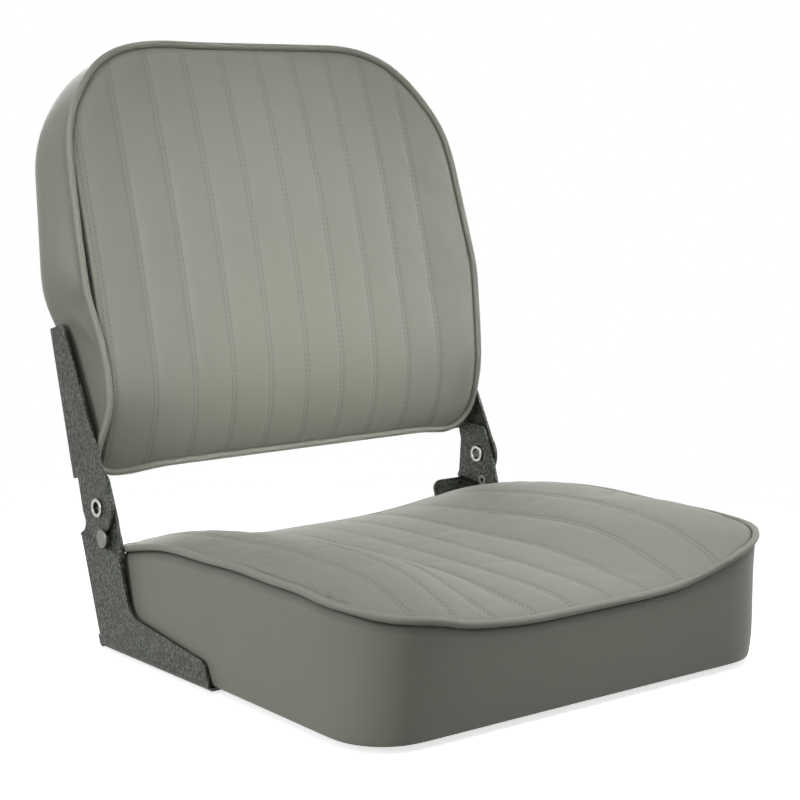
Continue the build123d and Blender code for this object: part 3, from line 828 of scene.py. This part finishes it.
def piping(name, line, middle, place):
    """Vinyl-covered cord along a seam line."""
    ahead = np.roll(line, -1, 0) - np.roll(line, 1, 0)
    ahead /= np.linalg.norm(ahead, axis=1)[:, None]
    out = np.zeros_like(line)
    out[:, :2] = line[:, :2] - middle
    out -= (out * ahead).sum(1)[:, None] * ahead
    out /= np.linalg.norm(out, axis=1)[:, None]
    up = np.cross(out, ahead)
    bend = np.linalg.norm(np.roll(ahead, -2, 0) - np.roll(ahead, 2, 0), axis=1)
    pucker = 1 + pucker_deep * np.minimum(bend, pucker_bend) * np.sin(np.arange(len(line)) * pucker_turn)
    rings = []
    for k in range(piping_sides):
        angle = 2 * math.pi * k / piping_sides
        radius = piping_r * pucker * (1 - piping_flat * math.cos(2 * angle))
        rings.append(line + radius[:, None] * (math.cos(angle) * out + math.sin(angle) * up))
    points = np.array(rings).transpose(1, 0, 2).reshape(-1, 3)
    faces = []
    for i in range(len(line)):
        for j in range(piping_sides):
            a = i * piping_sides
            b = ((i + 1) % len(line)) * piping_sides
            n = (j + 1) % piping_sides
            faces.append((a + j, b + j, b + n, a + n))
    return soft_piece(name, points, faces, lit_piping_vinyl, np.zeros(len(points)), place, 0)


seat_piping = piping("seat_piping", seat_line, seat_middle, seat_place)
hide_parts("seat_welt")
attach(seat_piping, "seat")

# Each channel is two rows of lock stitches in thread of the cover's colour, drawn into the panel.
# A row is laid along the finished panel and a short rounded stitch is set at each step.
stitch_pitch = 0.0046
stitch_long = 0.0030
stitch_wide = 0.00085
stitch_margin = 0.0071
stitch_sink = 0.0001
row_step = 0.004
thread_shade = 0.75
twist_scale = 1500.0
thread_colour = (0.235, 0.235, 0.206, 1)
thread_dark = tuple(thread_shade * c for c in thread_colour[:3]) + (1,)
thread = Finish("sewing_thread")
thread_twist = thread.noise(thread.place(), twist_scale, 2.0)
thread.set({
    "Base Color": thread.mix(thread_twist, thread_dark, thread_colour),
    "Roughness": 0.7,
})


def repeat_tree(name, shape):
    """Node tree that sets one small shape at even steps along the edges of a mesh."""
    tree = bpy.data.node_groups.new(name, "GeometryNodeTree")
    sockets = {"Geometry": "NodeSocketGeometry", "Pitch": "NodeSocketFloat", "Size": "NodeSocketVector",
               "Material": "NodeSocketMaterial"}
    for label, kind in sockets.items():
        tree.interface.new_socket(label, in_out="INPUT", socket_type=kind)
    tree.interface.new_socket("Geometry", in_out="OUTPUT", socket_type="NodeSocketGeometry")
    given = tree.nodes.new("NodeGroupInput")
    result = tree.nodes.new("NodeGroupOutput")

    def add(kind, settings, links):
        made = tree.nodes.new(kind)
        for key, value in settings.items():
            setattr(made, key, value)
        for key, value in links.items():
            if isinstance(value, bpy.types.NodeSocket):
                tree.links.new(value, made.inputs[key])
            else:
                made.inputs[key].default_value = value
        return made
    curve = add("GeometryNodeMeshToCurve", {}, {"Mesh": given.outputs["Geometry"]})
    steps = add("GeometryNodeResampleCurve", {"mode": "LENGTH"}, {
        "Curve": curve.outputs["Curve"], "Length": given.outputs["Pitch"],
    })
    along = add("GeometryNodeInputTangent", {}, {})
    turn = add("FunctionNodeAlignRotationToVector", {"axis": "Z"}, {"Vector": along.outputs["Tangent"]})
    seed = add(*shape)
    unit = add("GeometryNodeSetShadeSmooth", {}, {"Geometry": seed.outputs["Mesh"]})
    copies = add("GeometryNodeInstanceOnPoints", {}, {
        "Points": steps.outputs["Curve"], "Instance": unit.outputs["Geometry"],
        "Rotation": turn.outputs["Rotation"], "Scale": given.outputs["Size"],
    })
    real = add("GeometryNodeRealizeInstances", {}, {"Geometry": copies.outputs["Instances"]})
    painted = add("GeometryNodeSetMaterial", {}, {
        "Geometry": real.outputs["Geometry"], "Material": given.outputs["Material"],
    })
    tree.links.new(painted.outputs["Geometry"], result.inputs["Geometry"])
    return tree


def set_along(name, rows, tree, pitch, size, material):
    """Plain mesh of small shapes set along rows of points, with a node tree's steps."""
    points = [tuple(spot) for row in rows for spot in row]
    edges = []
    first = 0
    for row in rows:
        edges += [(first + i, first + i + 1) for i in range(len(row) - 1)]
        first += len(row)
    mesh = bpy.data.meshes.new(name)
    mesh.from_pydata(points, edges, [])
    piece = bpy.data.objects.new(name, mesh)
    scene.collection.objects.link(piece)
    steps = piece.modifiers.new("steps", "NODES")
    steps.node_group = tree
    values = {"Pitch": pitch, "Size": size, "Material": material}
    for item in tree.interface.items_tree:
        if item.in_out == "INPUT" and item.name in values:
            steps[item.identifier] = values[item.name]
    piece.update_tag()
    flatten(piece)
    return piece


def sewn_rows(panel, line, channels, place):
    """Rows of points on a finished panel, two for each channel, ending short of the piping."""
    mesh = panel.data
    corners = [place.inverted() @ v.co for v in mesh.vertices]
    rays = BVHTree.FromPolygons(corners, [tuple(f.vertices) for f in mesh.polygons])
    rows = []
    for channel in channels:
        for x in (channel - row_half, channel + row_half):
            ends = []
            for a, b in zip(line, np.roll(line, -1, 0)):
                if (a[0] - x) * (b[0] - x) < 0:
                    ends.append(a[1] + (x - a[0]) / (b[0] - a[0]) * (b[1] - a[1]))
            places = np.arange(min(ends) + stitch_margin, max(ends) - stitch_margin, row_step)
            hits = [dropped(rays, x, y) for y in places]
            rows.append([place @ (hit - Vector((0, 0, stitch_sink))) for hit in hits if hit])
    return rows


stitch_tree = repeat_tree(
    "stitches", ("GeometryNodeMeshUVSphere", {}, {"Segments": 6, "Rings": 4, "Radius": 0.5}),
)
stitch_size = (stitch_wide, stitch_wide, stitch_long)
seat_rows = sewn_rows(seat_cushion, seat_line, seat_channels, seat_place)
seat_stitches = set_along("seat_stitches", seat_rows, stitch_tree, stitch_pitch, stitch_size, thread.owner)
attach(seat_stitches, "seat")

# The backrest cushion is made like the seat's, standing on its hinge line and leaning back.
# Its panel is crowned, and rolls back under the lower edge to the board. Its sewing is a little
# uneven, and its lower corners are drawn back.
recline = math.radians(16)
pivot = Vector(frame["joints"][0]["pos_m"])
back_place = Matrix.Translation(pivot) @ Matrix((
    (1, 0, 0, 0),
    (0, math.sin(recline), -math.cos(recline), 0),
    (0, math.cos(recline), math.sin(recline), 0),
    (0, 0, 0, 1),
))
back_middle = np.array((0.0, 0.205))
back_channel_first = -0.196
back_channel_pitch = 0.0386
back_channel_count = 10
back_channels = [back_channel_first + back_channel_pitch * i for i in range(back_channel_count)]
corner_draw_right = 0.012
corner_draw_left = 0.005
corner_side = (0.125, 0.195)
corner_low = (0.088, 0.040)
# Where the cover stands out from or in to its even outline: place, reach and fullness
back_fills = (
    (-0.154, 0.364, 0.048, 0.0086),
    (0.190, 0.334, 0.042, -0.0044),
    (-0.212, 0.148, 0.060, -0.0038),
    (-0.204, 0.040, 0.024, 0.0045),
)
rear_fill = 0.55
back_pressure = 3.0
back_puff = 0.003
fill_centre = 0.001


def ease(value, start, end):
    """Smooth share from zero at start to one at end."""
    share = np.clip((value - start) / (end - start), 0, 1)
    return share * share * (3 - 2 * share)


def drawn_back(x, u):
    """How far the cover's lower corners are drawn back to the board."""
    draw = np.where(x < 0, corner_draw_right, corner_draw_left)
    return draw * ease(np.abs(x), *corner_side) * ease(u, *corner_low)


def filled_out(x, u):
    """Outward move of the cover in its own plane, away from the cushion's middle."""
    out = np.stack([x - back_middle[0], u - back_middle[1]], -1)
    out = out / np.maximum(np.linalg.norm(out, axis=-1), fill_centre)[..., None]
    return bumps(back_fills, x, u)[..., None] * out


even_line = piping_line("back_welt", back_place, back_middle)
even_line[:, 2] -= drawn_back(even_line[:, 0], even_line[:, 1])
line_fill = filled_out(even_line[:, 0], even_line[:, 1])
back_line = even_line.copy()
back_line[:, :2] += line_fill
back_points = local_mesh("back_front_panel", back_place)[0]
back_front = read_height("back_front_panel", back_place, back_points.min(0)[:2], back_points.max(0)[:2])


def back_height(x, u):
    """Height of the backrest's panel, filled out like its edge and drawn back at the lower corners."""
    move = filled_out(x, u)
    even_x, even_u = x - move[..., 0], u - move[..., 1]
    return back_front(even_x, even_u) - drawn_back(even_x, even_u)


back_board_front = local_mesh("back_board", back_place)[0][:, 2].max() + board_gap
back_cushion = cushion(
    "back_cushion", back_line, back_channels, back_height, back_board_front, back_place, back_middle,
    back_pressure, back_puff,
)
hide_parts("back_foam", "back_front_panel")
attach(back_cushion, "back")
back_rows = sewn_rows(back_cushion, back_line, back_channels, back_place)
back_stitches = set_along("back_stitches", back_rows, stitch_tree, stitch_pitch, stitch_size, thread.owner)
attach(back_stitches, "back")

# The backrest's band runs round its edge from the piping to the rear, and turns in behind the
# board as a hem. It bulges above the arms and lies flat where they press on it.
back_hem = 0.030
arm_top = 0.170
arm_side = 0.185
back_rays = caster("back_side_band", back_place)
back_rear = local_mesh("back_side_band", back_place)[0][:, 2].min()
back_rings = band_rows(even_line, back_rays, back_middle, back_rear, back_hem)
ring_depth = np.ptp(back_rings[..., 2], axis=1)[:, None]
ring_front = (back_rings[..., 2] - back_rear) / ring_depth
line_out = even_line[:, :2] - back_middle
filled = ((line_fill * line_out).sum(1) > 0)[:, None]
ring_share = np.where(filled, rear_fill + (1 - rear_fill) * ring_front, ring_front)
back_rings[..., :2] += ring_share[..., None] * line_fill[:, None, :]
beside_arm = (back_rings[..., 1] < arm_top) & (np.abs(back_rings[..., 0]) > arm_side)
back_band = side_band("back_band", back_rings, beside_arm, back_place, pressure=2.0, cap=0.005, shade=0.4)
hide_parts("back_side_band")
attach(back_band, "back")

# The backrest's piping is the same cord as the seat's, sewn into the uneven seam between its
# panel and its band.
back_piping = piping("back_piping", back_line, back_middle, back_place)
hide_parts("back_welt")
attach(back_piping, "back")

# The rear of the backrest is closed by one more sheet of the vinyl, topstitched to the hem.
# It swells a little in the middle and lies flat under the arm flanges, which are bolted through it.
cover_puff = 0.003
cover_flat_half = 0.168
cover_shares = (1.0, 0.996, 0.985, 0.95, 0.88, 0.78, 0.64, 0.48, 0.32, 0.16, 0.05)
cover_turn = (0.0, 0.0007, 0.0012)
cover_stitch_share = 0.968
cover_power = 4
cover_rays = caster("back_rear_cover", back_place)
cover_depth = local_mesh("back_rear_cover", back_place)[0][:, 2]
cover_front = cover_depth.max()
cover_level = 0.5 * (cover_depth.min() + cover_front)
cover_edge = []
for step in range(loop_count):
    angle = 2 * math.pi * (step + 0.5) / loop_count
    out = Vector((math.cos(angle), math.sin(angle), 0))
    start = Vector((back_middle[0], back_middle[1], cover_level)) + out
    cover_edge.append(tuple(cover_rays.ray_cast(start, -out)[0])[:2])
cover_edge = np.array(cover_edge) - back_middle
cover_flat_up = 0.5 * np.ptp(cover_edge[:, 1])


def cover_sheet(share, turned):
    """Ring of the rear cover at a share of its outline, swelled in the middle."""
    ring = share * cover_edge
    flat_x = np.clip(1 - (ring[:, 0] / cover_flat_half) ** cover_power, 0, 1)
    flat_u = np.clip(1 - (ring[:, 1] / cover_flat_up) ** cover_power, 0, 1)
    level = cover_front - turned - cover_puff * flat_x * flat_u
    return np.column_stack([ring + back_middle, level])


cover_turns = cover_turn + (band_thick,) * (len(cover_shares) - len(cover_turn))
cover_rings = np.array([cover_sheet(share, turned) for share, turned in zip(cover_shares, cover_turns)])
cover_points = cover_rings.transpose(1, 0, 2).reshape(-1, 3)
cover_count = len(cover_shares)
cover_faces = [tuple(reversed(face)) for face in grid_faces(loop_count, cover_count, True)]
cover_faces.append(tuple(i * cover_count + cover_count - 1 for i in reversed(range(loop_count))))
# The rear cover takes the bands' darker copy of the vinyl, painted shade
back_cover = soft_piece(
    "back_cover", cover_points, cover_faces, shaded_band_vinyl, np.zeros(len(cover_points)), back_place, 0,
)
thicken(back_cover)
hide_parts("back_rear_cover")
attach(back_cover, "back")
cover_row = [back_place @ Vector(spot) for spot in cover_sheet(cover_stitch_share, band_thick)]
cover_row.append(cover_row[0])
cover_stitches = set_along(
    "cover_stitches", [cover_row], stitch_tree, stitch_pitch, stitch_size, thread.owner,
)
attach(cover_stitches, "back")

# The seat's hem is stapled to the board all round, except where the bracket feet cover it.
# The staples are flat zinc-plated wire, shot through the hem in one row.
staple_pitch = 0.026
staple_size = (0.0012, 0.0007, 0.0105)
staple_share = 0.62
foot_side = 0.160
foot_margin = 0.015
shortest_row = 8
staple_ring = seat_rings[:, -1] + (1 - staple_share) * (seat_rings[:, -3] - seat_rings[:, -1])
under_foot = (np.abs(staple_ring[:, 0]) > foot_side) & (staple_ring[:, 1] > bracket_front - foot_margin)
staple_rows = [[]]
for spot, covered in zip(staple_ring, under_foot):
    if covered:
        staple_rows.append([])
    else:
        staple_rows[-1].append(tuple(spot))
staple_rows = [row for row in staple_rows if len(row) > shortest_row]
staple_tree = repeat_tree("staples", ("GeometryNodeMeshCube", {}, {"Size": (1, 1, 1)}))
staples = set_along("seat_staples", staple_rows, staple_tree, staple_pitch, staple_size, zinc.owner)
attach(staples, "seat")
